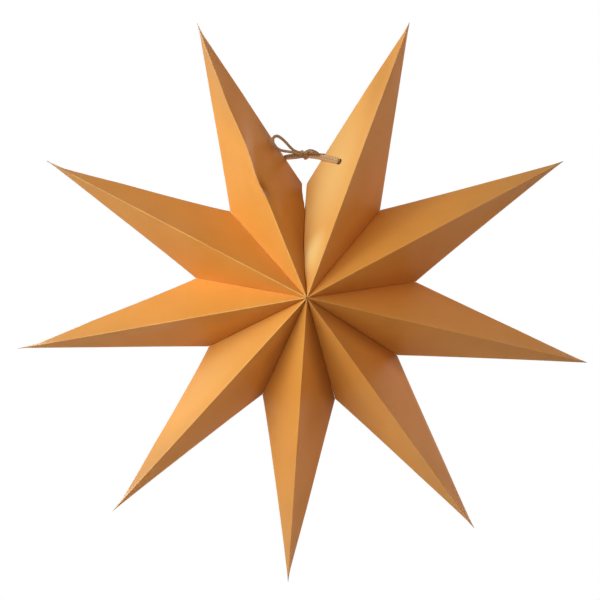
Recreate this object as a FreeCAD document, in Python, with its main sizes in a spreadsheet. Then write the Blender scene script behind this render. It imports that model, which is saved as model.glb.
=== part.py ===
import FreeCAD, Part
import math
import os
import Sketcher

# Folded card star with nine points, each folded from one sheet, glued side by side round the hub.
# Frame in millimetres: +Z up, the front faces -Y, the origin is the middle of the hub.
# Bearings are degrees clockwise from straight up, seen from the front.

DRIVING = {
    # the star as a whole
    "tip_radius": 300.0,
    "notch_radius": 115.2,
    "half_depth": 90.0,
    # the card and how each sheet is closed
    "paper": 0.35,
    "glue_tab": 10.0,
    "seam_flap": 8.0,
    "apex_clearance": 9.0,
    "corner_slot": 1.2,
    "tip_half_depth": 1.0,
    "closed_tip": 3.0,
    # how the glued points stand round the hub when the star is opened
    "first_bearing": -21.77,
    "pitch_a": 42.73,
    "pitch_b": 41.84,
    "pitch_c": 40.93,
    "pitch_d": 40.52,
    "pitch_e": 39.18,
    "pitch_f": 38.16,
    "pitch_g": 37.68,
    "pitch_h": 37.94,
    # the open valley between the first two points, and the cord that ties it
    "slit_width": 4.4,
    "hole_bore": 5.5,
    "hole_from_edge": 28.0,
    "hole_from_notch": 36.0,
    "cord_bore": 3.6,
    "stopper_bore": 8.0,
    "knot_bore": 8.2,
}

doc = FreeCAD.newDocument("Star")
sizes = doc.addObject("Spreadsheet::Sheet", "Sizes")
for row, (name, value) in enumerate(DRIVING.items(), start=1):
    sizes.set(f"A{row}", name)
    sizes.set(f"B{row}", str(value))
    sizes.setAlias(f"B{row}", name)
doc.recompute()

# The angle from each point to the next one clockwise. The last pitch closes the circle.
PITCHES = [f"Sizes.pitch_{letter}" for letter in "abcdefgh"]
PITCHES.append("(360 - " + " - ".join(PITCHES) + ")")
POINTS = len(PITCHES)

# Sides are -1 for left and 1 for right, faces are -1 for front and 1 for back. The open valley
# lies between the first point's right side and the second point's left side.
SLIT_SIDES = ((0, 1), (1, -1))
HOLES = {0: (1, 1), 1: (-1, -1)}

# Sketch planes in a point's own frame, where the point stands straight up along +Z.
FRONT_VIEW = FreeCAD.Rotation(FreeCAD.Vector(1, 0, 0), 90)
SIDE_VIEW = FreeCAD.Rotation(FreeCAD.Vector(1, 1, 1), 120)
H_AXIS, V_AXIS = -1, -2

# Rough sizes that a sketch starts from before its constraints set the true ones.
ROUGH_OUT = float(sizes.notch_radius)
ROUGH_UP = float(sizes.tip_radius)

# The apex in which the four facets of a point would meet if the tip weren't blunt.
APEX = "(Sizes.tip_radius * Sizes.half_depth / (Sizes.half_depth - Sizes.tip_half_depth))"
MEAN_HALF_PITCH = f"(180 deg / {POINTS})"


def bearing(index):
    """Bearing of a point: the first one's, and the pitches up to it."""
    return " + ".join(["Sizes.first_bearing"] + PITCHES[:index])


def half_pitch(index, side):
    """Angle from a point's middle to the valley on its left (-1) or right (+1)."""
    pitch = PITCHES[index if side > 0 else index - 1]
    angle = f"{pitch} * 1 deg / 2"
    if (index, side) in SLIT_SIDES:
        angle += " - asin(Sizes.slit_width / 2 / Sizes.notch_radius)"
    return f"({angle})"


def hub_half_width(index, side):
    """Where the facet through the tip and the notch would cross the level of the hub's axis."""
    angle = half_pitch(index, side)
    return (
        f"({APEX} * Sizes.notch_radius * sin({angle})"
        f" / ({APEX} - Sizes.notch_radius * cos({angle})))"
    )


def inset(index, side, layers):
    """Share that is left of the pyramid's reach when its facets move in by some layers of card."""
    width = hub_half_width(index, side)
    slope = f"sqrt(1 / {width}^2 + 1 / Sizes.half_depth^2 + 1 / {APEX}^2)"
    return f"(1 - {layers} * Sizes.paper * {slope})"


def add(kind, name, **values):
    made = doc.addObject(kind, name)
    for key, value in values.items():
        setattr(made, key, value)
    return made


def bind(target, **expressions):
    for key, expression in expressions.items():
        target.setExpression(key.replace("__", "."), expression)


def closed_outline(name, corners):
    """A sketch of straight lines from corner to corner, closed. A line's ends are 1 and 2."""
    sketch = add("Sketcher::SketchObject", name)
    ends = corners[1:] + corners[:1]
    for here, there in zip(corners, ends):
        line = Part.LineSegment(FreeCAD.Vector(*here, 0), FreeCAD.Vector(*there, 0))
        sketch.addGeometry(line)
    for number in range(len(corners)):
        following = (number + 1) % len(corners)
        sketch.addConstraint(Sketcher.Constraint("Coincident", number, 2, following, 1))
    return sketch


def set_distance(sketch, name, direction, corner, value, expression):
    """A named distance from the sketch's origin to one of its corners."""
    far = Sketcher.Constraint(direction, H_AXIS, 1, corner, 1, value)
    sketch.renameConstraint(sketch.addConstraint(far), name)
    sketch.setExpression(f"Constraints.{name}", expression)


def kite(name, index, level, share_left, share_right):
    """Section of a point at one level: a ridge in front and behind, an outline crease each side."""
    out = ROUGH_OUT
    sketch = closed_outline(name, [(0, -out), (out, 0), (0, out), (-out, 0)])
    for corner, axis in enumerate((V_AXIS, H_AXIS, V_AXIS, H_AXIS)):
        sketch.addConstraint(Sketcher.Constraint("PointOnObject", corner, 1, axis))
    share = f"(({share_left} + {share_right}) / 2)"
    left = f"{hub_half_width(index, -1)} * {share_left}"
    right = f"{hub_half_width(index, 1)} * {share_right}"
    set_distance(sketch, "front", "DistanceY", 0, -out, f"-Sizes.half_depth * {share}")
    set_distance(sketch, "right", "DistanceX", 1, out, right)
    set_distance(sketch, "back", "DistanceY", 2, out, f"Sizes.half_depth * {share}")
    set_distance(sketch, "left", "DistanceX", 3, -out, f"-{left}")
    bind(sketch, Placement__Base__z=level)
    return sketch


def pyramid(name, index, layers, top):
    """The four facets of a point as a solid, moved in by some layers of card, up to a level."""
    foot_shares = [inset(index, side, layers) for side in (-1, 1)]
    head_shares = [f"({share} - {top} / {APEX})" for share in foot_shares]
    foot = kite(f"{name}_foot", index, "0", *foot_shares)
    head = kite(f"{name}_head", index, top, *head_shares)
    return add("Part::Loft", name, Sections=[foot, head], Solid=True, Ruled=True)


def sector(name, index):
    """The space between a point's two valleys, as wide in front as behind."""
    out, up = ROUGH_OUT, ROUGH_UP
    sketch = closed_outline(f"{name}_plan", [(0, 0), (out, up), (-out, up)])
    sketch.addConstraint(Sketcher.Constraint("Coincident", 0, 1, H_AXIS, 1))
    reach = "2 * Sizes.tip_radius"
    right, left = half_pitch(index, 1), half_pitch(index, -1)
    set_distance(sketch, "right_out", "DistanceX", 1, out, f"{reach} * tan({right})")
    set_distance(sketch, "right_up", "DistanceY", 1, up, reach)
    set_distance(sketch, "left_out", "DistanceX", 2, -out, f"-{reach} * tan({left})")
    set_distance(sketch, "left_up", "DistanceY", 2, up, reach)
    sketch.Placement.Rotation = FRONT_VIEW
    made = add("Part::Extrusion", name, Base=sketch, DirMode="Normal", Solid=True, Symmetric=True)
    bind(made, LengthFwd="3 * Sizes.half_depth")
    return made


def hub_window(name):
    """The triangle between the glue tabs, cut through both side walls of a point and the axis."""
    share = "(1 - Sizes.glue_tab / Sizes.half_depth / Sizes.notch_radius"
    share += " * sqrt(Sizes.half_depth^2 + Sizes.notch_radius^2))"
    out = ROUGH_OUT
    sketch = closed_outline(f"{name}_side", [(-out, 0), (0, out), (out, 0)])
    for corner, axis in enumerate((H_AXIS, V_AXIS, H_AXIS)):
        sketch.addConstraint(Sketcher.Constraint("PointOnObject", corner, 1, axis))
    level = f"Sizes.notch_radius * cos({MEAN_HALF_PITCH}) * {share}"
    set_distance(sketch, "front", "DistanceX", 0, -out, f"-Sizes.half_depth * {share}")
    set_distance(sketch, "top", "DistanceY", 1, out, level)
    set_distance(sketch, "back", "DistanceX", 2, out, f"Sizes.half_depth * {share}")
    sketch.Placement.Rotation = SIDE_VIEW
    made = add("Part::Extrusion", name, Base=sketch, DirMode="Normal", Solid=True, Symmetric=True)
    bind(made, LengthFwd="2 * Sizes.notch_radius")
    return made


def punched_hole(name, index, side, face):
    """A round hole for the cord, square through the facet on one side and face of a point."""
    angle, width = half_pitch(index, side), hub_half_width(index, side)
    crease = f"sqrt({APEX}^2 + {width}^2)"
    to_crease = f"({width} * {APEX} / {crease})"
    rise = f"sqrt(Sizes.half_depth^2 + {to_crease}^2)"
    inward = f"(Sizes.hole_from_edge * {to_crease} / {rise})"
    out_x = f"(Sizes.notch_radius * sin({angle}) - Sizes.hole_from_notch * {width} / {crease}"
    out_x += f" - {inward} * {APEX} / {crease})"
    up_z = f"(Sizes.notch_radius * cos({angle}) + Sizes.hole_from_notch * {APEX} / {crease}"
    up_z += f" - {inward} * {width} / {crease})"
    deep_y = f"(Sizes.hole_from_edge * Sizes.half_depth / {rise})"
    steep = f"sqrt(1 / {width}^2 + 1 / Sizes.half_depth^2 + 1 / {APEX}^2)"
    square_x, square_y, square_z = (f"(1 / {size} / {steep})" for size in (width, "Sizes.half_depth", APEX))
    reach = "Sizes.hole_bore"
    place = f"create(<<vector>>; {side} * ({out_x} - {square_x} * {reach});"
    place += f" {face} * ({deep_y} - {square_y} * {reach}); {up_z} - {square_z} * {reach})"
    lean = f"create(<<vector>>; -1 * {face} * {square_y}; {side} * {square_x}; 0)"
    hole = add("Part::Cylinder", name)
    turn = f"create(<<rotation>>; {lean}; acos({square_z}))"
    bind(
        hole,
        Radius="Sizes.hole_bore / 2",
        Height=f"2 * {reach}",
        Placement=f"create(<<placement>>; {place}; {turn})",
    )
    return hole


def folded_point(index):
    """One sheet: four facets, glue tabs along its four hub edges, a seam flap on the back ridge."""
    name = f"arm_{index + 1}"

    def part(word):
        return f"{name}_{word}"

    space = sector(part("sector"), index)
    skin = pyramid(part("skin"), index, "0", "Sizes.tip_radius")
    outside = add("Part::Common", part("outside"), Base=skin, Tool=space)

    inner_top = "(Sizes.tip_radius - Sizes.closed_tip)"
    under_skin = pyramid(part("under_skin"), index, "1", inner_top)
    between_tabs = sector(part("between_tabs"), index)
    bind(between_tabs, Placement__Base__z=f"Sizes.paper / sin({MEAN_HALF_PITCH})")
    round_axis = add("Part::Cylinder", part("round_axis"))
    round_axis.Placement.Rotation = FreeCAD.Rotation(FreeCAD.Vector(1, 0, 0), 90)
    bind(
        round_axis,
        Radius="Sizes.apex_clearance",
        Height="2 * Sizes.half_depth",
        Placement__Base__y="Sizes.half_depth",
    )
    corner = add("Part::Box", part("corner"))
    bind(
        corner,
        Length="Sizes.notch_radius",
        Width="Sizes.corner_slot",
        Height="Sizes.notch_radius",
        Placement__Base__x="-Sizes.notch_radius / 2",
        Placement__Base__y="-Sizes.corner_slot / 2",
    )
    room = add("Part::MultiFuse", part("room"), Shapes=[between_tabs, round_axis, corner])
    hollow = add("Part::Common", part("hollow"), Base=under_skin, Tool=room)

    under_flap = pyramid(part("under_flap"), index, "2", inner_top)
    second_layer = add("Part::Cut", part("second_layer"), Base=under_skin, Tool=under_flap)
    seam = add("Part::Box", part("seam"))
    bind(
        seam,
        Length="Sizes.seam_flap",
        Width="Sizes.half_depth",
        Height="Sizes.tip_radius - 2 * Sizes.closed_tip - Sizes.notch_radius",
        Placement__Base__z="Sizes.notch_radius - Sizes.closed_tip",
    )
    flap = add("Part::Common", part("flap"), Base=second_layer, Tool=seam)
    inside = add("Part::Cut", part("inside"), Base=hollow, Tool=flap)

    removed = add("Part::MultiFuse", part("removed"), Shapes=[inside, hub_window(part("window"))])
    sheet_name = part("unpunched") if index in HOLES else name
    sheet = add("Part::Cut", sheet_name, Base=outside, Tool=removed)
    if index in HOLES:
        hole = punched_hole(part("hole"), index, *HOLES[index])
        sheet = add("Part::Cut", name, Base=sheet, Tool=hole)
    upright = "create(<<vector>>; 0; 1; 0)"
    origin = "create(<<vector>>; 0; 0; 0)"
    turn = f"create(<<rotation>>; {upright}; {bearing(index)})"
    bind(sheet, Placement=f"create(<<placement>>; {origin}; {turn})")
    return sheet


arms = [folded_point(index) for index in range(POINTS)]
doc.recompute()


# The cord. Its points are chosen by hand: x, y, z in millimetres.
STANDING_PART = [
    (-38.4, 21.2, 134.9),
    (-33.7, 25.0, 138.1),
    (-29.0, 17.0, 139.6),
    (-24.2, 9.8, 141.2),
    (-18.9, 2.6, 142.8),
    (-10.0, 0.2, 143.5),
    (0.2, -1.2, 143.9),
    (9.0, -2.2, 143.6),
    (16.9, -3.6, 142.6),
    (22.2, -9.8, 141.4),
    (27.1, -17.2, 139.8),
    (31.7, -25.0, 138.5),
    (36.5, -21.2, 135.5),
]
OPEN_LOOP = [
    (0.2, 0.5, 146.2),
    (-6.5, -0.4, 149.2),
    (-13.5, -2.5, 155.2),
    (-20.5, -4.5, 161.3),
    (-27.0, -6.0, 164.6),
    (-32.8, -7.5, 162.0),
    (-33.2, -9.2, 155.5),
    (-27.8, -7.6, 150.6),
    (-20.0, -6.6, 148.5),
    (-11.5, -6.0, 147.4),
    (-2.0, -4.6, 145.6),
]
FLAT_LOOP = [
    (0.8, -2.8, 146.0),
    (6.0, -6.0, 149.2),
    (12.0, -7.0, 149.6),
    (16.2, -3.0, 148.6),
    (14.0, 1.8, 148.6),
    (8.0, 2.8, 149.0),
    (1.5, 1.6, 146.6),
]
TAIL = [
    (1.0, 1.2, 143.8),
    (9.5, 5.6, 145.2),
    (18.0, 9.8, 145.9),
    (25.0, 13.8, 144.4),
]
KNOT = (0.2, -1.2, 144.4)
KNOT_LEAN = FreeCAD.Rotation(FreeCAD.Vector(1, 0, 0), -17)
ROUNDING = 0.45


def tube(points, bore):
    """A round tube along straight runs joined by tangent arcs that take a share of the shorter run."""
    corners = [FreeCAD.Vector(*point) for point in points]
    edges, here = [], corners[0]
    for before, corner, after in zip(corners, corners[1:], corners[2:]):
        back, ahead = before - corner, after - corner
        shorter = min(back.Length, ahead.Length)
        turn = math.pi - back.getAngle(ahead)
        reach = ROUNDING * shorter
        radius = reach / math.tan(turn / 2)
        into, away = corner + back.normalize() * reach, corner + ahead.normalize() * reach
        middle = (back + ahead).normalize()
        centre = corner + middle * math.hypot(reach, radius)
        edges.append(Part.LineSegment(here, into).toShape())
        edges.append(Part.Arc(into, centre - middle * radius, away).toShape())
        here = away
    edges.append(Part.LineSegment(here, corners[-1]).toShape())
    path = Part.Wire(edges)
    ring = Part.Wire(Part.Circle(corners[0], corners[1] - corners[0], bore / 2).toShape())
    return path.makePipeShell([ring], True, True)


cord_bore = float(sizes.cord_bore)
stretches = []
routes = {"standing": STANDING_PART, "open_loop": OPEN_LOOP, "flat_loop": FLAT_LOOP, "tail": TAIL}
for word, points in routes.items():
    stretch = add("Part::Feature", f"cord_{word}")
    stretch.Shape = tube(points, cord_bore)
    stretches.append(stretch)

knots = {
    "first_stopper": (STANDING_PART[0], "Sizes.stopper_bore / 2"),
    "last_stopper": (STANDING_PART[-1], "Sizes.stopper_bore / 2"),
    "knot": (KNOT, "Sizes.knot_bore / 2"),
}
for word, (place, radius) in knots.items():
    ball = add("Part::Sphere", f"cord_{word}")
    ball.Placement = FreeCAD.Placement(FreeCAD.Vector(*place), KNOT_LEAN)
    bind(ball, Radius=radius)
    stretches.append(ball)
tie = add("Part::MultiFuse", "tie_cord", Shapes=stretches)
doc.recompute()

pieces = arms + [tie]
for made in doc.Objects:
    if "Invalid" in made.State or "Error" in made.State:
        raise RuntimeError(f"{made.Name} is {made.State}")
for piece in pieces:
    shape = piece.Shape
    if shape.isNull() or not shape.isValid() or len(shape.Solids) != 1:
        raise RuntimeError(f"{piece.Name} isn't one valid solid")

os.makedirs("parts", exist_ok=True)
for piece in pieces:
    piece.Label = piece.Name
    piece.Shape.exportStep(f"parts/{piece.Label}.step")
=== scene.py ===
import math

import bmesh
import bpy
from mathutils import Matrix, Vector
from mathutils.noise import noise as wander


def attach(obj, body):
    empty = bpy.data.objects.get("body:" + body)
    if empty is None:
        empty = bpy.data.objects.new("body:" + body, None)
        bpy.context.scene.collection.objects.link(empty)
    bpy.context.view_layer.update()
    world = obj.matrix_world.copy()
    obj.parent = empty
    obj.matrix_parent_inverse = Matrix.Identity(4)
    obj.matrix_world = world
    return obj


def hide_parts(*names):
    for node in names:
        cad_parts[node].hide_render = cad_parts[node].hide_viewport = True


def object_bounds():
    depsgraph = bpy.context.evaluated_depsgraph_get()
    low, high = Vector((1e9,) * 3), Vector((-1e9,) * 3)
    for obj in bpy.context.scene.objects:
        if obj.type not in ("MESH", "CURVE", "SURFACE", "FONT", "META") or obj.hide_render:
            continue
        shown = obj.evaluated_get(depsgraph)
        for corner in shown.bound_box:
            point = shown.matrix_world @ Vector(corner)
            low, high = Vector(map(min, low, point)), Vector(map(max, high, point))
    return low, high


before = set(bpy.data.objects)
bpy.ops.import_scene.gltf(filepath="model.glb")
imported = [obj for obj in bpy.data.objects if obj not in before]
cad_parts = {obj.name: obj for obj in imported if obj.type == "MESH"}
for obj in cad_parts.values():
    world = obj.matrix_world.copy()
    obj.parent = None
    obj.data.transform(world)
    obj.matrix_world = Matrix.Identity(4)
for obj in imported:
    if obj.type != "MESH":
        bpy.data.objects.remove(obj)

# Folded card star with nine points and the cord tied across its open valley. Metres, +Z up, the
# front faces -Y. Bearings are clockwise from straight up, seen from the front.
cad_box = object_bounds()
MM = 0.001

# ---- the card star, read from its solids ------------------------------------------------------
ARMS = [f"arm_{number}" for number in range(1, 10)]
HALF_DEPTH = cad_box[1].y
PAPER = 0.35 * MM
GLUE_TAB = 10 * MM
HOLE_BORE = 5.5 * MM


def clear_selection():
    if bpy.context.mode != "OBJECT":
        bpy.ops.object.mode_set(mode="OBJECT")
    bpy.ops.object.select_all(action="DESELECT")


def outline_corners(node):
    """Bearing of a point, and its tip, left notch and right notch with the point turned upright."""
    corners = [v.co.copy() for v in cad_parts[node].data.vertices]
    tip = max(corners, key=lambda co: co.length)
    bearing = math.atan2(tip.x, tip.z)
    upright = Matrix.Rotation(-bearing, 4, "Y")
    turned = [upright @ co for co in corners]
    left = min(turned, key=lambda co: co.x)
    right = max(turned, key=lambda co: co.x)
    return bearing, Vector((0, 0, tip.length)), Vector((left.x, 0, left.z)), Vector((right.x, 0, right.z))


# ---- camera -----------------------------------------------------------------------------------
LOOK_AT = Vector((-5.56, 0, -6.35)) * MM
DISTANCE = 2.2
AZIMUTH, ELEVATION = math.radians(-0.89), math.radians(2.61)
LENS = 127.2

back = Vector((math.sin(AZIMUTH) * math.cos(ELEVATION), -math.cos(AZIMUTH) * math.cos(ELEVATION), math.sin(ELEVATION)))
bpy.ops.object.camera_add(location=LOOK_AT + back * DISTANCE)
camera = bpy.context.object
camera.name = "camera"
camera.rotation_euler = back.to_track_quat("Z", "Y").to_euler()
camera.data.lens = LENS
camera.data.sensor_width = 36
bpy.context.scene.camera = camera


# ---- cord -------------------------------------------------------------------------------------
# The cord's points are those of the solid, in millimetres.
STANDING_PART = [
    (-38.4, 21.2, 134.9), (-33.7, 25.0, 138.1), (-29.0, 17.0, 139.6), (-24.2, 9.8, 140.9),
    (-18.9, 2.6, 141.8), (-10.0, 0.2, 142.4), (0.2, -1.2, 143.2), (9.0, -2.2, 142.8),
    (16.9, -3.6, 141.4), (22.2, -9.8, 140.2), (27.1, -17.2, 138.8), (32.4, -25.0, 137.3),
    (37.2, -20.9, 134.7),
]
OPEN_LOOP = [
    (-2.0, 0.5, 145.0), (-9.6, -0.6, 147.0), (-14.8, -2.0, 150.6), (-19.6, -3.6, 156.2), (-25.0, -5.2, 161.2),
    (-29.8, -6.6, 163.8), (-34.0, -7.8, 161.2), (-33.2, -9.0, 154.6), (-28.8, -8.0, 149.8), (-23.0, -6.8, 147.7),
    (-16.0, -6.2, 147.0), (-9.8, -5.6, 145.8), (-2.6, -4.6, 144.2),
]
FLAT_LOOP = [
    (-1.0, -3.4, 145.2), (2.6, -5.6, 148.2), (7.0, -6.6, 148.6), (12.6, -5.2, 145.6), (13.2, -4.6, 144.4),
    (7.6, -5.4, 145.6), (0.4, -3.6, 145.0),
]
TAIL = [(1.0, 1.2, 143.8), (9.5, 5.6, 144.8), (18.0, 9.8, 145.0), (25.0, 13.8, 144.0)]
KNOT = Vector((-1.6, -1.4, 143.8)) * MM
CORD_WIDTH = 5.5 * MM
CORD_THICK = 2.3 * MM
PLAIT_PITCH = 2.6 * MM
PLAIT_DEPTH = 0.28 * MM
RING = 28


def smooth_line(name, points, steps=16):
    """Points along the smooth line that the cord's chosen points steer."""
    curve = bpy.data.curves.new(name, "CURVE")
    curve.dimensions = "3D"
    spline = curve.splines.new("NURBS")
    spline.points.add(len(points) - 1)
    for point, place in zip(spline.points, points):
        point.co = (*[size * MM for size in place], 1)
    spline.order_u = 3
    spline.use_endpoint_u = True
    spline.resolution_u = steps
    holder = bpy.data.objects.new(name, curve)
    bpy.context.scene.collection.objects.link(holder)
    bpy.context.view_layer.update()
    line = bpy.data.meshes.new_from_object(holder)
    places = [vertex.co.copy() for vertex in line.vertices]
    bpy.data.objects.remove(holder)
    bpy.data.curves.remove(curve)
    bpy.data.meshes.remove(line)
    return places


def between(stops, share):
    """A value read from (share, value) stops, eased from one to the next."""
    for (low, first), (high, last) in zip(stops, stops[1:]):
        if share <= high:
            part = max(0.0, min(1.0, (share - low) / (high - low)))
            return first + (last - first) * part * part * (3 - 2 * part)
    return stops[-1][1]


def flat_braid(name, line, lean, width=1.0, thick=1.0, round_ends=(False, False), lit_tone=0.0):
    """A flat plaited cord along a line. Lean is how far its flat side is turned from facing the front. Lit tone is
    painted light and shade along it, from shaded brown at 0 to lit tan at 1.
    """
    bm = bmesh.new()
    groove = bm.verts.layers.float.new("groove")
    painted_light = bm.verts.layers.float.new("painted_light")
    travelled, total = 0.0, sum((b - a).length for a, b in zip(line, line[1:]))
    rings = []
    for number, place in enumerate(line):
        before, after = line[max(number - 1, 0)], line[min(number + 1, len(line) - 1)]
        travelled += (place - before).length if number else 0
        along = (after - before).normalized()
        across = along.cross(Vector((0, -1, 0))).normalized()
        facing = across.cross(along)
        angle = math.radians(between(lean, travelled / total))
        flat = across * math.cos(angle) + facing * math.sin(angle)
        edge = along.cross(flat)
        half = CORD_WIDTH / 2 * (between(width, travelled / total) if isinstance(width, list) else width)
        deep = CORD_THICK / 2 * (between(thick, travelled / total) if isinstance(thick, list) else thick)
        for closed, gap in zip(round_ends, (travelled, total - travelled)):
            if closed and gap < half:
                half *= math.sqrt(max(1 - (1 - gap / half) ** 2, 0.02))
        ring = []
        for step in range(RING):
            turn = 2 * math.pi * step / RING
            out, up = math.cos(turn), math.sin(turn)
            squared = (abs(out) ** 2.6 + abs(up) ** 2.6) ** (-1 / 2.6)
            out, up = out * squared, up * squared
            phase = travelled / PLAIT_PITCH + 0.75 * abs(out) + (0.5 if up < 0 else 0)
            depth = 1 - abs(math.sin(math.pi * phase)) ** 0.7
            depth = max(depth, 0.8 * math.exp(-(out / 0.10) ** 2))
            sink = PLAIT_DEPTH * depth
            vert = bm.verts.new(place + flat * out * (half - sink * 0.6) + edge * up * (deep - sink))
            # The groove share also sets the painted shade in the cord's colour.
            vert[groove] = depth
            # Painted light and shade along the cord.
            vert[painted_light] = between(lit_tone, travelled / total) if isinstance(lit_tone, list) else lit_tone
            ring.append(vert)
        rings.append(ring)
    for here, there in zip(rings, rings[1:]):
        for step in range(RING):
            following = (step + 1) % RING
            bm.faces.new((here[step], here[following], there[following], there[step]))
    for ring in (rings[0], rings[-1]):
        bm.faces.new(ring)
    bmesh.ops.recalc_face_normals(bm, faces=bm.faces)
    mesh = bpy.data.meshes.new(name)
    bm.to_mesh(mesh)
    bm.free()
    piece = bpy.data.objects.new(name, mesh)
    bpy.context.scene.collection.objects.link(piece)
    for polygon in mesh.polygons:
        polygon.use_smooth = True
    return piece


standing_line = smooth_line("standing line", STANDING_PART, 22)
# Painted light along the standing part: darker at its left end, lit across the front, painted shade at the end in the
# hole.
cord = flat_braid(
    "tie_cord_through_holes",
    standing_line,
    lean=[(0, 0), (0.14, 66), (0.3, 30), (0.42, 8), (0.75, -6), (1, -10)],
    width=[(0, 0.8), (0.2, 0.8), (0.34, 1.1), (0.5, 0.85), (0.6, 1.05), (0.8, 1.2), (0.92, 1.1), (1, 0.7)],
    lit_tone=[(0, 0.3), (0.3, 0.7), (0.5, 0.95), (0.93, 0.9), (0.97, 0.0), (1, 0.0)],
)

# The bow's loops and tail carry deeper painted shade than the standing part.
open_loop = flat_braid(
    "open_loop", smooth_line("open loop line", OPEN_LOOP), lean=[(0, 60), (0.12, 84), (0.85, 84), (1, 50)],
    width=0.92, thick=[(0, 1.2), (0.5, 1.35), (1, 1.2)], lit_tone=0.35,
)
flat_loop = flat_braid(
    "flat_loop", smooth_line("flat loop line", FLAT_LOOP), lean=[(0, 40), (0.3, 76), (0.7, 76), (1, 40)],
    width=0.8, thick=1.1, lit_tone=0.15,
)
tail = flat_braid(
    "tail", smooth_line("tail line", TAIL), lean=[(0, 40), (0.4, 80), (1, 84)], width=0.85, thick=0.75,
    round_ends=(False, True),
)


def knot_wrap(name, radius, slant, shift, width):
    """One turn of the cord round the knot, slanted across the cord that it holds."""
    turns = []
    for step in range(49):
        turn = math.radians(-30 + 420 * step / 48)
        drift = (step / 48 - 0.5) * shift
        place = Vector((
            drift + math.sin(turn) * radius * math.tan(slant),
            -math.cos(turn) * radius * 0.82,
            math.sin(turn) * radius,
        ))
        turns.append(KNOT + place)
    # The wrap carries a painted highlight.
    return flat_braid(name, turns, lean=[(0, 0), (1, 0)], width=width, thick=0.62, lit_tone=0.8)


wraps = [knot_wrap("knot_wrap", 3.0 * MM, math.radians(-30), 2.4 * MM, 0.85)]
clear_selection()
for piece in [open_loop, flat_loop, tail] + wraps:
    piece.select_set(True)
bpy.context.view_layer.objects.active = open_loop
bpy.ops.object.join()
bow = bpy.context.object
bow.name = "tie_cord_bow"
bow.data.name = "tie_cord_bow"


# ---- folded points ----------------------------------------------------------------------------
# How the hand-folded card departs from straight folds, in millimetres. Each point's tip stands a
# little more or less far out, and each valley's outer corner, clockwise from arm_1's left one,
# lies a little off: right and up, seen from the front.
TIP_REACH = [3.0, 2.2, 2.7, 3.7, 4.2, 3.8, 4.4, 6.0, 3.2]
NOTCH_DRIFT = [
    (-0.7, 0.9), (-0.3, -1.3), (0.8, 1.4), (0.5, -1.0), (0.3, 0.3),
    (-1.0, 0.9), (-0.7, 1.4), (-0.4, 2.1), (0.1, -0.1),
]
# What each outline crease loses near the tip and along its length, on the left and on the right.
OUTLINES = {
    "arm_1": ((0.5, 0.8), (1.2, 0.8)),
    "arm_2": ((1.1, -0.4), (0.2, 0.2)),
    "arm_3": ((0.3, 0.9), (0.1, 1.0)),
    "arm_4": ((0.5, 0.4), (-0.2, 0.5)),
    "arm_5": ((0.4, 0.6), (0.7, 1.1)),
    "arm_6": ((1.1, 0.4), (0.1, 1.3)),
    "arm_7": ((0.0, 0.8), (1.4, 2.5)),
    "arm_8": ((0.5, 0.6), (2.5, 1.8)),
    "arm_9": ((0.6, 1.1), (2.0, 2.2)),
}
# The pinched spike at each tip: its share of the point's length, and half its width.
SPIKES = [0.035, 0.03, 0.025, 0.02, 0.02, 0.03, 0.02, 0.06, 0.045]
SPIKE_HALF = 0.75 * MM
# How far the facets bow out in front, on the left and on the right.
BOWS = {
    "arm_1": (0.5, -0.5), "arm_2": (-0.7, 0.4), "arm_3": (0.4, -0.3), "arm_4": (-0.3, 0.4), "arm_5": (0.4, -0.3),
    "arm_6": (-0.4, 0.4), "arm_7": (0.4, 0.6), "arm_8": (-0.4, 0.4), "arm_9": (0.3, -0.4),
}
# The first point's front ridge wanders sideways: share of the way from the tip, and how far.
RIDGE_WANDER = [
    (0, 0), (0.1, -1.0), (0.2, -1.2), (0.31, -1.8), (0.4, -0.6), (0.46, 0),
    (0.5, -0.6), (0.56, -2.2), (0.6, -1.8), (0.66, -0.6), (1, -0.2),
]
# The unglued valley's two edges wander too, from the outer corner to the hub. Plus is to the right.
SLIT_WANDER = {
    "arm_1": [
        (0, 0), (0.06, -0.3), (0.12, 0.3), (0.19, 1.4), (0.24, 1.8),
        (0.36, 0.3), (0.54, -1.1), (0.72, -0.9), (0.9, -0.4), (1, 0),
    ],
    "arm_2": [(0, 0), (0.1, -0.6), (0.21, -1.0), (0.36, -2.1), (0.54, -2.7), (0.71, -1.8), (0.92, -0.4), (1, 0)],
}
# How pale each front ridge has worn, arm_1 to arm_9, and each valley, clockwise from arm_1's left one.
RIDGE_WEAR = [0.6, 0.75, 0.45, 0.25, 0.15, 0.1, 0.7, 1.0, 1.0]
VALLEY_WEAR = [0.8, 0.0, 0.2, 0.3, 0.1, 0.0, 0.0, 0.0, 0.6]
# Soft patches on the front with a painted highlight or painted shade: how far out along the point, how far to the right
# of its ridge, how far they reach along and across, and how strong they are.
# Painted highlights: soft pale patches where a glow of light falls.
PAINTED_HIGHLIGHTS = {
    "arm_2": [(44, -10, 36, 10, 0.9), (120, -20, 110, 26, 0.55)],
    "arm_7": [(120, 18, 100, 24, 0.2)],
}
# Painted shade patches, such as the dark wedge beside arm_1's dent.
PAINTED_SHADE_PATCHES = {
    "arm_1": [(117, 3, 16, 4.5, 0.45), (176, 25, 9, 6, 0.35)],
    "arm_2": [(230, -8, 50, 12, 0.18)],
}
# Strength of the painted shade, a dark line along the outline creases.
OUTLINE_SHADE_STRENGTH = 0.7
# Painted shade: how much deeper the colour is painted at the tips, and beside each valley, on the left and on the
# right.
TIP_SHADING = {
    "arm_1": (0.75, 0.0), "arm_2": (0.35, 0.0), "arm_3": (0.65, 0.5), "arm_4": (0.25, 0.5), "arm_5": (0.1, 0.6),
    "arm_6": (0.2, 0.65), "arm_7": (0.0, 0.9), "arm_8": (0.0, 0.45), "arm_9": (0.3, 0.0),
}
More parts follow.
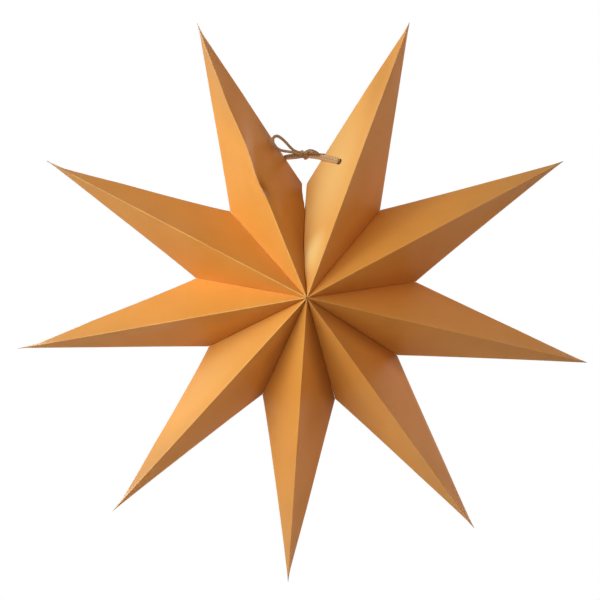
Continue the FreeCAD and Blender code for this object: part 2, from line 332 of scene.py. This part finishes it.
# Painted shade on the pinched spike at the very tip.
SPIKE_SHADING = 1.0
VALLEY_SHADING = {
    "arm_1": (0.0, 0.3), "arm_2": (0.0, 0.15), "arm_3": (0.0, 0.2), "arm_4": (0.15, 0.1), "arm_5": (0.5, 0.1),
    "arm_6": (0.55, 0.15), "arm_7": (0.45, 0.0), "arm_8": (0.25, 0.0), "arm_9": (0.0, 0.1),
}
WAVE_HEIGHT = 0.5 * MM
WAVE_LENGTH = 34 * MM
# Dents pressed into the front: how far out along the point, how far to the right of its ridge,
# how deep (minus swells out), and how far each reaches along and across.
DENTS = {
    "arm_1": [(122, 2.5, 3.4, 13, 5), (90, 9, -1.8, 11, 6), (134, -6, 1.6, 20, 3.5)],
    "arm_2": [(171, -4, 1.6, 8, 5), (38, -7, -1.5, 22, 7)],
    "arm_6": [(120, -10, 0.8, 40, 12)],
    "arm_8": [(150, -12, 0.8, 50, 12)],
}
CUTS = 44
CREASE = 0.62 * MM
OUTER_CREASE = 0.35 * MM
EASE = 0.06 * MM


def crease_loss(amounts, share):
    """How far an outline crease lies inside its straight line, at a share of the way from the tip."""
    at_tip, along = amounts
    spike = min(share / 0.07, 1.0) * max(0.0, 1 - max(0.0, share - 0.07) / 0.35)
    hollow = (4 * share * (1 - share)) ** 0.6
    return (at_tip * spike + along * hollow) * MM


def where_on_facet(co, tip, notch, apex):
    """Shares of the tip, the notch and the hub apex that make up a place on a facet."""
    edge_a, edge_b, spot = notch - tip, apex - tip, co - tip
    aa, ab, bb = edge_a.dot(edge_a), edge_a.dot(edge_b), edge_b.dot(edge_b)
    sa, sb = spot.dot(edge_a), spot.dot(edge_b)
    grid = aa * bb - ab * ab
    to_notch, to_apex = (bb * sa - ab * sb) / grid, (aa * sb - ab * sa) / grid
    return 1 - to_notch - to_apex, max(to_notch, 0.0), max(to_apex, 0.0)


def hand_folded(name, co, bearing, tip, left, right):
    """Where a place on a straight-folded point lies on the hand-folded one."""
    on_right, in_front = co.x > 0, co.y < 0
    notch = right if on_right else left
    apex = Vector((0, -HALF_DEPTH if in_front else HALF_DEPTH, 0))
    to_tip, to_notch, to_apex = where_on_facet(co, tip, notch, apex)
    share = min(max(1 - to_tip, 0.0), 1.0)
    off_ridge = to_notch / max(to_notch + to_apex, 1e-6)
    out = (notch - tip).cross(apex - tip).normalized()
    if out.y * co.y < 0:
        out = -out
    inward = Vector((math.copysign(tip.z - notch.z, -co.x), 0, -abs(notch.x))).normalized()
    loss = min(crease_loss(OUTLINES[name][on_right], share), 0.7 * share * abs(notch.x))
    spike_half = SPIKE_HALF + max(0.0, share - SPIKES[ARMS.index(name)]) * 0.09
    loss = max(loss, share * abs(notch.x) - spike_half)
    moved = co + inward * loss * off_ridge
    bubble = 27 * max(to_tip, 0) * to_notch * to_apex
    bow = BOWS[name][on_right] if in_front else 0.3
    wave = wander(co / WAVE_LENGTH + Vector((ARMS.index(name) * 7, 0, 0))) * WAVE_HEIGHT
    moved += out * (bow * bubble * MM + wave * min(6 * bubble, 1))
    sideways = Matrix.Rotation(-bearing, 3, "Y") @ Vector((1, 0, 0))
    if name == "arm_1" and in_front:
        moved.x += between(RIDGE_WANDER, share) * MM * (1 - off_ridge) ** 1.5
    if in_front:
        for along, across, depth, reach_along, reach_across in DENTS.get(name, []):
            away_along, away_across = (co.z / MM - along) / reach_along, (co.x / MM - across) / reach_across
            moved -= out * depth * MM * math.exp(-2 * (away_along**2 + away_across**2)) * min(10 * off_ridge, 1)
    if name in SLIT_WANDER and on_right == (name == "arm_1"):
        from_corner = to_apex / max(to_notch + to_apex, 1e-6)
        near_edge = max(0.0, 1 - to_tip / 0.22) ** 2
        moved += sideways * between(SLIT_WANDER[name], from_corner) * MM * near_edge
    return moved


def patch_strength(patches, co):
    """How strongly the soft patches on the front show at a place."""
    strength = 0.0
    for along, across, reach_along, reach_across, most in patches if co.y < 0 else []:
        away = math.hypot((co.z / MM - along) / reach_along, (co.x / MM - across) / reach_across)
        strength = max(strength, most * math.exp(-2 * away**2))
    return strength


MARKS = ("from_folds", "wear_and_highlight", "painted_shade")


def fold_marks(co, number, tip, left, right):
    """Distances from the ridge, valley and outline; how worn the ridge and valley are, and the painted highlight; and
    the painted shade at the tip, beside the valley, and on the spike and dark patches.
    """
    on_right = co.x > 0
    notch = right if on_right else left
    apex = Vector((0, math.copysign(HALF_DEPTH, co.y), 0))
    to_tip, to_notch, to_apex = where_on_facet(co, tip, notch, apex)
    twice_area = (notch - tip).cross(apex - tip).length
    far = (
        to_notch * twice_area / (apex - tip).length,
        abs(to_tip) * twice_area / (apex - notch).length,
        to_apex * twice_area / (notch - tip).length,
    )
    valley = (number + on_right) % len(ARMS)
    # Painted shade at the tips, beside the valleys, on the pinched spikes and in dark patches.
    tip_shading = TIP_SHADING[ARMS[number]][on_right] * max(0.0, (to_tip - 0.45) / 0.55)
    in_valley = VALLEY_SHADING[ARMS[number]][on_right]
    spike_shade = SPIKE_SHADING * max(0.0, 1 - (1 - to_tip) / 0.05)
    pale, dark = (patch_strength(patches.get(ARMS[number], []), co) for patches in (PAINTED_HIGHLIGHTS, PAINTED_SHADE_PATCHES))
    return far, (RIDGE_WEAR[number], VALLEY_WEAR[valley], pale), (tip_shading, in_valley, max(spike_shade, dark))


def select_edges(sheet, wanted):
    """Selects the sharp edges of a sheet whose two ends pass a test."""
    bpy.ops.mesh.select_all(action="DESELECT")
    bpy.ops.mesh.edges_select_sharp(sharpness=math.radians(24))
    bm = bmesh.from_edit_mesh(sheet.data)
    for edge in bm.edges:
        if edge.select and not wanted(edge.verts[0].co, edge.verts[1].co):
            edge.select = False
    bmesh.update_edit_mesh(sheet.data)


def folded_sheet(name):
    """One point of the star, folded from a sheet: four facets and the glue tabs along the hub edges."""
    bearing, tip, left, right = outline_corners(name)
    number = ARMS.index(name)
    clear_selection()
    bpy.ops.mesh.primitive_cone_add(
        vertices=4, radius1=HALF_DEPTH, radius2=0, depth=tip.z, end_fill_type="NOTHING", location=(0, 0, tip.z / 2)
    )
    sheet = bpy.context.object
    sheet.name = sheet.data.name = f"{name}_sheet"
    bpy.ops.object.transform_apply(location=True, rotation=True, scale=True)
    upright = Matrix.Rotation(-bearing, 3, "Y")
    tip.z += TIP_REACH[number] * MM
    for corner, drift in ((left, NOTCH_DRIFT[number]), (right, NOTCH_DRIFT[(number + 1) % len(ARMS)])):
        if name == "arm_1" and corner is right:
            drift = (-0.3, -0.3)
        corner += upright @ Vector((drift[0], 0, drift[1])) * MM
    left += Vector((EASE, 0, EASE))
    right += Vector((-EASE, 0, EASE))
    for vertex in sheet.data.vertices:
        if vertex.co.z > tip.z / 2:
            vertex.co = tip
        elif abs(vertex.co.x) > abs(vertex.co.y):
            vertex.co = right if vertex.co.x > 0 else left
        else:
            vertex.co = Vector((0, math.copysign(HALF_DEPTH, vertex.co.y), 3 * EASE))
    bpy.ops.object.mode_set(mode="EDIT")
    bpy.ops.mesh.select_mode(type="EDGE")
    bpy.ops.mesh.select_all(action="SELECT")
    bpy.ops.mesh.subdivide(number_cuts=CUTS)

    # the glue tabs, drawn in along the valleys
    share = 1 - GLUE_TAB / HALF_DEPTH / right.length * math.hypot(HALF_DEPTH, right.length)
    bpy.ops.mesh.select_all(action="DESELECT")
    bpy.ops.mesh.select_non_manifold(
        extend=False, use_wire=False, use_boundary=True, use_multi_face=False, use_non_contiguous=False, use_verts=False
    )
    bpy.ops.mesh.extrude_region()
    bpy.ops.transform.resize(value=(share, share, share), center_override=(0, 0, 6 * EASE))

    # the ridges and valleys, each a narrow worn band, then the tighter creases of the outline
    select_edges(sheet, lambda one, two: abs(one.y) > EASE or abs(two.y) > EASE)
    bpy.ops.mesh.bevel(offset_type="OFFSET", offset=CREASE, segments=2, profile=0.5, clamp_overlap=True)
    select_edges(sheet, lambda one, two: abs(one.y) < EASE and abs(two.y) < EASE)
    bpy.ops.mesh.bevel(offset_type="OFFSET", offset=OUTER_CREASE, segments=2, profile=0.5, clamp_overlap=True)
    bpy.ops.object.mode_set(mode="OBJECT")

    for mark in MARKS:
        sheet.data.attributes.new(mark, "FLOAT_VECTOR", "CORNER")
    layers = [sheet.data.attributes[mark].data for mark in MARKS]
    for loop in sheet.data.loops:
        place = sheet.data.vertices[loop.vertex_index].co
        for layer, amounts in zip(layers, fold_marks(place, number, tip, left, right)):
            layer[loop.index].vector = amounts
    for vertex in sheet.data.vertices:
        vertex.co = hand_folded(name, vertex.co.copy(), bearing, tip, left, right)
    solid = sheet.modifiers.new("card thickness", "SOLIDIFY")
    solid.thickness = PAPER
    solid.offset = -1
    solid.use_even_offset = True
    clear_selection()
    sheet.select_set(True)
    bpy.context.view_layer.objects.active = sheet
    bpy.ops.object.modifier_apply(modifier=solid.name)
    sheet.data.transform(Matrix.Rotation(bearing, 4, "Y"))
    bpy.ops.object.shade_smooth_by_angle(angle=math.radians(22))
    return sheet


def punch(sheet, run):
    """A round hole where the end run of the cord's route passes through a facet."""
    first, last = (Vector(place) * MM for place in run)
    middle = (first + last) / 2
    nearest = min(sheet.data.polygons, key=lambda face: (face.center - middle).length)
    bpy.ops.mesh.primitive_cylinder_add(vertices=40, radius=0.6 * HOLE_BORE, depth=3 * HOLE_BORE, location=middle)
    punch_pin = bpy.context.object
    punch_pin.rotation_euler = nearest.normal.to_track_quat("Z", "Y").to_euler()
    hole = sheet.modifiers.new("hole", "BOOLEAN")
    hole.object = punch_pin
    clear_selection()
    sheet.select_set(True)
    bpy.context.view_layer.objects.active = sheet
    bpy.ops.object.modifier_apply(modifier=hole.name)
    bpy.data.objects.remove(punch_pin)


sheets = [folded_sheet(name) for name in ARMS]
punch(sheets[0], STANDING_PART[:2])
punch(sheets[1], STANDING_PART[-2:])


# ---- finishes ---------------------------------------------------------------------------------
def material(name):
    made = bpy.data.materials.new(name)
    made.use_nodes = True
    nodes = made.node_tree.nodes
    return made, nodes, made.node_tree.links, nodes["Principled BSDF"]


def fold_band(nodes, links, distance, strengths, half_width, ragged):
    """How strongly a band beside a fold shows: full at the fold, none past a ragged edge. It draws the worn pale fold
    lines, the painted shade along the outline and the painted shade beside the valleys.
    """
    edge = nodes.new("ShaderNodeMath")
    edge.operation = "MULTIPLY_ADD"
    edge.inputs[1].default_value = half_width
    edge.inputs[2].default_value = half_width * 0.5
    links.new(ragged, edge.inputs[0])
    fade = nodes.new("ShaderNodeMapRange")
    fade.interpolation_type = "SMOOTHSTEP"
    fade.inputs["From Min"].default_value = 0
    fade.inputs["To Min"].default_value = 1
    fade.inputs["To Max"].default_value = 0
    links.new(distance, fade.inputs["Value"])
    links.new(edge.outputs[0], fade.inputs["From Max"])
    amount = nodes.new("ShaderNodeMath")
    amount.operation = "MULTIPLY"
    links.new(fade.outputs["Result"], amount.inputs[0])
    links.new(strengths, amount.inputs[1])
    return amount.outputs[0]


def noise(nodes, links, place, scale, detail):
    texture = nodes.new("ShaderNodeTexNoise")
    texture.inputs["Scale"].default_value = scale
    texture.inputs["Detail"].default_value = detail
    links.new(place, texture.inputs["Vector"])
    return texture.outputs["Fac"]


def mixed(nodes, links, amount, one, other):
    """A colour between two: each is a plain colour or another node's output."""
    mix = nodes.new("ShaderNodeMix")
    mix.data_type = "RGBA"
    links.new(amount, mix.inputs["Factor"])
    for colour, socket in ((one, mix.inputs["A"]), (other, mix.inputs["B"])):
        if isinstance(colour, tuple):
            socket.default_value = (*colour, 1)
        else:
            links.new(colour, socket)
    return mix.outputs["Result"]


def dyed_card():
    """Satin dyed card: cloudy dye, a fine fibre grain and pale worn folds, with a painted highlight in soft patches,
    painted shade at the tips, beside the valleys and in dark patches, and a painted dark line of shade at the outline.
    """
    made, nodes, links, shader = material("dyed card")
    place = nodes.new("ShaderNodeTexCoord").outputs["Object"]
    cloud = noise(nodes, links, place, 22, 3)
    fibre = noise(nodes, links, place, 900, 4)
    ragged = noise(nodes, links, place, 60, 3)
    dye = nodes.new("ShaderNodeMath")
    dye.operation = "MULTIPLY"
    links.new(cloud, dye.inputs[0])
    links.new(fibre, dye.inputs[1])
    spread = nodes.new("ShaderNodeMapRange")
    spread.inputs["From Min"].default_value = 0.12
    spread.inputs["From Max"].default_value = 0.40
    links.new(dye.outputs[0], spread.inputs["Value"])
    colour = mixed(nodes, links, spread.outputs["Result"], CARD_DEEPER, CARD)
    folds, strengths = nodes.new("ShaderNodeAttribute"), nodes.new("ShaderNodeAttribute")
    folds.attribute_name, strengths.attribute_name = "from_folds", "wear_and_highlight"
    how_far, wear_and_highlight_parts = nodes.new("ShaderNodeSeparateXYZ"), nodes.new("ShaderNodeSeparateXYZ")
    links.new(folds.outputs["Vector"], how_far.inputs[0])
    links.new(strengths.outputs["Vector"], wear_and_highlight_parts.inputs[0])
    shade_marks, painted_shade = nodes.new("ShaderNodeAttribute"), nodes.new("ShaderNodeSeparateXYZ")
    shade_marks.attribute_name = "painted_shade"
    links.new(shade_marks.outputs["Vector"], painted_shade.inputs[0])
    # Painted shade: deeper colour at the tips, on the pinched spikes, in dark patches and beside the valleys.
    colour = mixed(nodes, links, painted_shade.outputs["X"], colour, TIP_SHADE)
    colour = mixed(nodes, links, painted_shade.outputs["Z"], colour, DEEP_PAINTED_SHADE)
    amount = fold_band(nodes, links, how_far.outputs["Y"], painted_shade.outputs["Y"], VALLEY_SHADE_WIDTH, cloud)
    colour = mixed(nodes, links, amount, colour, VALLEY_SHADE)
    # Painted highlight in the soft pale patches.
    colour = mixed(nodes, links, wear_and_highlight_parts.outputs["Z"], colour, PAINTED_HIGHLIGHT)
    outline_shade_strength = nodes.new("ShaderNodeValue").outputs[0]
    outline_shade_strength.default_value = OUTLINE_SHADE_STRENGTH
    # Worn pale lines along the ridges and valleys, then painted shade along the outline.
    for axis, strength_of, half_width, shade in (
        ("X", wear_and_highlight_parts.outputs["X"], RIDGE_LINE, WORN),
        ("Y", wear_and_highlight_parts.outputs["Y"], VALLEY_LINE, WORN),
        ("Z", outline_shade_strength, OUTLINE_LINE, OUTLINE_SHADE),
    ):
        amount = fold_band(nodes, links, how_far.outputs[axis], strength_of, half_width, ragged)
        colour = mixed(nodes, links, amount, colour, shade)
    links.new(colour, shader.inputs["Base Color"])
    bump = nodes.new("ShaderNodeBump")
    bump.inputs["Strength"].default_value = GRAIN_STRENGTH
    bump.inputs["Distance"].default_value = GRAIN_DEPTH
    links.new(fibre, bump.inputs["Height"])
    links.new(bump.outputs["Normal"], shader.inputs["Normal"])
    shader.inputs["Roughness"].default_value = CARD_ROUGHNESS
    shader.inputs["Specular IOR Level"].default_value = CARD_SHEEN
    shader.inputs["Specular Tint"].default_value = (*SHEEN_TINT, 1)
    return made


# The card: its colours, painted highlight and painted shade among them, then how wide each worn fold line and the
# painted outline shade are, then its surface.
CARD = (0.82, 0.335, 0.066)
CARD_DEEPER = (0.76, 0.30, 0.054)
WORN = (1.0, 0.61, 0.22)
# Painted highlight colour.
PAINTED_HIGHLIGHT = (1.0, 0.66, 0.27)
# Painted shade colour along the outline.
OUTLINE_SHADE = (0.42, 0.14, 0.03)
RIDGE_LINE = 1.15 * MM
VALLEY_LINE = 0.9 * MM
OUTLINE_LINE = 1.0 * MM
# Painted shade colour at the tips.
TIP_SHADE = (0.50, 0.23, 0.075)
# Painted shade colour on the pinched spikes and in the dark patches.
DEEP_PAINTED_SHADE = (0.20, 0.07, 0.018)
VALLEY_SHADE = (0.22, 0.055, 0.006)
VALLEY_SHADE_WIDTH = 24 * MM
GRAIN_STRENGTH = 0.12
GRAIN_DEPTH = 0.06 * MM
CARD_ROUGHNESS = 0.42
CARD_SHEEN = 0.3
SHEEN_TINT = (1, 0.74, 0.42)
star_card = dyed_card()


def plaited_cord():
    """Waxed plait coloured with painted light and shade: brown where shaded, tan where lit, and painted shade in the
    grooves between its strands.
    """
    made, nodes, links, shader = material("tan plait")
    groove = nodes.new("ShaderNodeAttribute")
    groove.attribute_name = "groove"
    tint = nodes.new("ShaderNodeMix")
    tint.data_type = "RGBA"
    links.new(groove.outputs["Fac"], tint.inputs["Factor"])
    painted_light = nodes.new("ShaderNodeAttribute")
    painted_light.attribute_name = "painted_light"
    # Painted light and shade: brown where shaded, tan where lit.
    strands = mixed(nodes, links, painted_light.outputs["Fac"], (0.40, 0.205, 0.085), (0.76, 0.44, 0.21))
    # Painted shade in the grooves between the strands.
    grooves = mixed(nodes, links, painted_light.outputs["Fac"], (0.07, 0.035, 0.012), (0.24, 0.12, 0.045))
    links.new(strands, tint.inputs["A"])
    links.new(grooves, tint.inputs["B"])
    links.new(tint.outputs["Result"], shader.inputs["Base Color"])
    shader.inputs["Roughness"].default_value = 0.6
    return made


plait = plaited_cord()

for sheet, name in zip(sheets, ARMS):
    sheet.data.materials.clear()
    sheet.data.materials.append(star_card)
    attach(sheet, "root")
    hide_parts(name)
for piece in (cord, bow):
    piece.data.materials.clear()
    piece.data.materials.append(plait)
    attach(piece, "root")
    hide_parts("tie_cord")

# ---- light, floor and background --------------------------------------------------------------
scene = bpy.context.scene
scene.view_settings.view_transform = "Standard"


def softbox(name, bearing, height, size, watts, colour=(1, 1, 1)):
    """A square soft lamp that faces the star: bearing 0 is in front, 90 on the left, 180 behind."""
    across, up = math.radians(bearing), math.radians(height)
    away = Vector((-math.sin(across) * math.cos(up), -math.cos(across) * math.cos(up), math.sin(up)))
    bpy.ops.object.light_add(type="AREA", location=away * LAMP_DISTANCE)
    lamp = bpy.context.object
    lamp.name = name
    lamp.rotation_euler = away.to_track_quat("Z", "Y").to_euler()
    lamp.data.shape = "SQUARE"
    lamp.data.size = size
    lamp.data.energy = watts
    lamp.data.color = colour
    return lamp


LAMP_DISTANCE = 2.5
KEY_WHITE = (0.89, 1.0, 0.97)
WARM_FILL = (1, 0.82, 0.70)
softbox("key softbox", 48, 18, 1.6, 37, KEY_WHITE)
softbox("left softbox", 72, 22, 1.6, 29, KEY_WHITE)
softbox("left rear softbox", 104, 14, 1.2, 8.5, KEY_WHITE)
softbox("front softbox", 14, 30, 1.4, 10.5, WARM_FILL)
softbox("right softbox", -70, 8, 1.6, 15.5, WARM_FILL)
softbox("back left softbox", 160, 4, 1.6, 30)
softbox("back right softbox", -138, 16, 1.6, 14)

world = bpy.data.worlds.new("studio")
scene.world = world
world.use_nodes = True
nodes, links = world.node_tree.nodes, world.node_tree.links
nodes.clear()
out = nodes.new("ShaderNodeOutputWorld")
seen = nodes.new("ShaderNodeBackground")
seen.inputs["Strength"].default_value = 1
around = nodes.new("ShaderNodeBackground")
around.inputs["Strength"].default_value = 0.01
mix = nodes.new("ShaderNodeMixShader")
path = nodes.new("ShaderNodeLightPath")
to_eye = nodes.new("ShaderNodeMath")
to_eye.operation = "MAXIMUM"
to_eye_or_glass = nodes.new("ShaderNodeMath")
to_eye_or_glass.operation = "MAXIMUM"
links.new(path.outputs["Is Camera Ray"], to_eye.inputs[0])
links.new(path.outputs["Is Glossy Ray"], to_eye.inputs[1])
links.new(to_eye.outputs[0], to_eye_or_glass.inputs[0])
links.new(path.outputs["Is Transmission Ray"], to_eye_or_glass.inputs[1])
links.new(to_eye_or_glass.outputs[0], mix.inputs["Fac"])
links.new(around.outputs[0], mix.inputs[1])
links.new(seen.outputs[0], mix.inputs[2])
links.new(mix.outputs[0], out.inputs["Surface"])
seen.inputs["Color"].default_value = (1, 1, 1, 1)
around.inputs["Color"].default_value = (1, 1, 1, 1)

bpy.ops.object.select_all(action="DESELECT")
FLOOR = -1.1
bpy.ops.mesh.primitive_circle_add(vertices=96, radius=1.4, fill_type="NGON", location=(0, 0, FLOOR))
floor = bpy.context.object
floor.name = "floor"
bpy.ops.object.transform_apply(location=True)
pale, nodes, links, shader = material("pale floor")
shader.inputs["Base Color"].default_value = (0.84, 0.79, 0.74, 1)
shader.inputs["Roughness"].default_value = 0.8
floor.data.materials.append(pale)
